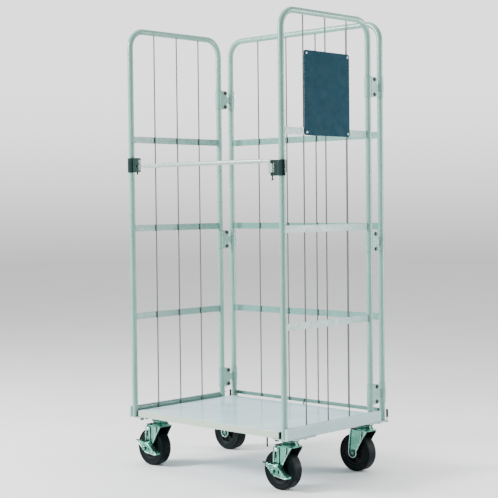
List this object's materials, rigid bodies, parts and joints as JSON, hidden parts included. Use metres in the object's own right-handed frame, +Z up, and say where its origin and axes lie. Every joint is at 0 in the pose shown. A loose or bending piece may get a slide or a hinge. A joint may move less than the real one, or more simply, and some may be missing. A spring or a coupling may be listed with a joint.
{
  "type": "roll cage container",
  "caption": "Tall wheeled cage with two side frames hinged to a back frame, a deck that flips up, a swinging front bar and swivel casters.",
  "frame": {"origin": "on the floor, below the middle of the whole object", "axes": "+Z up, +X to the right seen from the open front, +Y from the open front to the back frame"},
  "size_m": [0.864, 0.5845, 1.7],
  "materials": {
    "frame_paint": "satin",
    "rail_paint": "satin",
    "wire_paint": "satin",
    "beam_paint": "satin",
    "deck_paint": "gloss",
    "zinc_plate": "satin",
    "dark_bolt": "dark",
    "clamp_plastic": "matte",
    "sign_plate": "matte",
    "white_rivet": "gloss",
    "tyre_rubber": "matte",
    "wheel_core": "matte",
    "sleeve_rubber": "matte",
    "nylon": "matte",
    "bar_paint": "satin"
  },
  "bodies": {
    "back_frame": {"back_tube": "frame_paint", "back_rails": "rail_paint", "back_wires": "wire_paint", "back_hinge_collars": "frame_paint", "back_foot_bushings": "nylon", "deck_hinge_rod": "zinc_plate", "deck_hinge_lugs": "rail_paint"},
    "left_side": {"left_tube": "frame_paint", "left_rails": "rail_paint", "left_wires": "wire_paint", "left_base_beam": "beam_paint", "left_caster_pads": "beam_paint", "left_stop_sleeve": "sleeve_rubber", "left_hinge_clamps": "frame_paint", "left_hinge_knuckles": "frame_paint", "left_hinge_bolts": "dark_bolt", "left_caster_plates": "zinc_plate", "left_caster_bolts": "dark_bolt", "left_bar_catch": "clamp_plastic"},
    "right_side": {"right_tube": "frame_paint", "right_rails": "rail_paint", "right_wires": "wire_paint", "right_base_beam": "beam_paint", "right_caster_pads": "beam_paint", "right_stop_sleeve": "sleeve_rubber", "right_hinge_clamps": "frame_paint", "right_hinge_knuckles": "frame_paint", "right_hinge_bolts": "dark_bolt", "right_caster_plates": "zinc_plate", "right_caster_bolts": "dark_bolt", "right_bar_clamp": "clamp_plastic", "bar_pivot_pin": "dark_bolt", "sign_plate": "sign_plate", "sign_rivets": "white_rivet", "sign_clips": "dark_bolt"},
    "deck": {"deck_tray": "deck_paint", "deck_stiffeners": "deck_paint", "deck_knuckles": "deck_paint"},
    "deck_lock": {"deck_lock_pin": "dark_bolt"},
    "front_bar": {"front_bar": "bar_paint"},
    "front_left_swivel": {"front_left_fork": "zinc_plate", "front_left_axle": "zinc_plate", "front_left_brake_strap": "zinc_plate"},
    "front_left_wheel": {"front_left_tyre": "tyre_rubber", "front_left_wheel_core": "wheel_core"},
    "front_left_brake": {"front_left_brake_pedal": "zinc_plate"},
    "rear_left_swivel": {"rear_left_fork": "zinc_plate", "rear_left_axle": "zinc_plate"},
    "rear_left_wheel": {"rear_left_tyre": "tyre_rubber", "rear_left_wheel_core": "wheel_core"},
    "front_right_swivel": {"front_right_fork": "zinc_plate", "front_right_axle": "zinc_plate", "front_right_brake_strap": "zinc_plate"},
    "front_right_wheel": {"front_right_tyre": "tyre_rubber", "front_right_wheel_core": "wheel_core"},
    "front_right_brake": {"front_right_brake_pedal": "zinc_plate"},
    "rear_right_swivel": {"rear_right_fork": "zinc_plate", "rear_right_axle": "zinc_plate"},
    "rear_right_wheel": {"rear_right_tyre": "tyre_rubber", "rear_right_wheel_core": "wheel_core"}
  },
  "joints": [
    {"name": "left_side_swing", "type": "hinge", "parent": "back_frame", "child": "left_side", "pos_m": [-0.3775, 0.276, 0.873], "axis": [0, 0, -1], "range_deg": [0, 90]},
    {"name": "right_side_swing", "type": "hinge", "parent": "back_frame", "child": "right_side", "pos_m": [0.4015, 0.276, 0.873], "axis": [0, 0, 1], "range_deg": [0, 90]},
    {"name": "deck_flip", "type": "hinge", "parent": "back_frame", "child": "deck", "pos_m": [0.012, 0.251, 0.212], "axis": [-1, 0, 0], "range_deg": [0, 90]},
    {"name": "deck_lock_lift", "type": "slide", "parent": "deck", "child": "deck_lock", "axis": [0, 0, 1], "range_m": [0, 0.014]},
    {"name": "front_bar_swing", "type": "hinge", "parent": "right_side", "child": "front_bar", "pos_m": [0.357, -0.277, 1.142], "axis": [0, 0, 1], "range_deg": [0, 120]},
    {"name": "front_left_swivel_turn", "type": "hinge", "parent": "left_side", "child": "front_left_swivel", "pos_m": [-0.327, -0.192, 0.168], "axis": [0, 0, 1], "continuous": true},
    {"name": "front_left_wheel_roll", "type": "hinge", "parent": "front_left_swivel", "child": "front_left_wheel", "pos_m": [-0.362, -0.192, 0.072], "axis": [0, 1, 0], "continuous": true},
    {"name": "front_left_brake_press", "type": "hinge", "parent": "front_left_swivel", "child": "front_left_brake", "pos_m": [-0.362, -0.235, 0.072], "axis": [0, 1, 0], "range_deg": [0, 18]},
    {"name": "rear_left_swivel_turn", "type": "hinge", "parent": "left_side", "child": "rear_left_swivel", "pos_m": [-0.327, 0.233, 0.168], "axis": [0, 0, 1], "continuous": true},
    {"name": "rear_left_wheel_roll", "type": "hinge", "parent": "rear_left_swivel", "child": "rear_left_wheel", "pos_m": [-0.362, 0.233, 0.072], "axis": [0, 1, 0], "continuous": true},
    {"name": "front_right_swivel_turn", "type": "hinge", "parent": "right_side", "child": "front_right_swivel", "pos_m": [0.351, -0.192, 0.168], "axis": [0, 0, 1], "continuous": true},
    {"name": "front_right_wheel_roll", "type": "hinge", "parent": "front_right_swivel", "child": "front_right_wheel", "pos_m": [0.316, -0.192, 0.072], "axis": [0, 1, 0], "continuous": true},
    {"name": "front_right_brake_press", "type": "hinge", "parent": "front_right_swivel", "child": "front_right_brake", "pos_m": [0.316, -0.235, 0.072], "axis": [0, 1, 0], "range_deg": [0, 18]},
    {"name": "rear_right_swivel_turn", "type": "hinge", "parent": "right_side", "child": "rear_right_swivel", "pos_m": [0.351, 0.233, 0.168], "axis": [0, 0, 1], "continuous": true},
    {"name": "rear_right_wheel_roll", "type": "hinge", "parent": "rear_right_swivel", "child": "rear_right_wheel", "pos_m": [0.316, 0.233, 0.072], "axis": [0, 1, 0], "continuous": true}
  ]
}
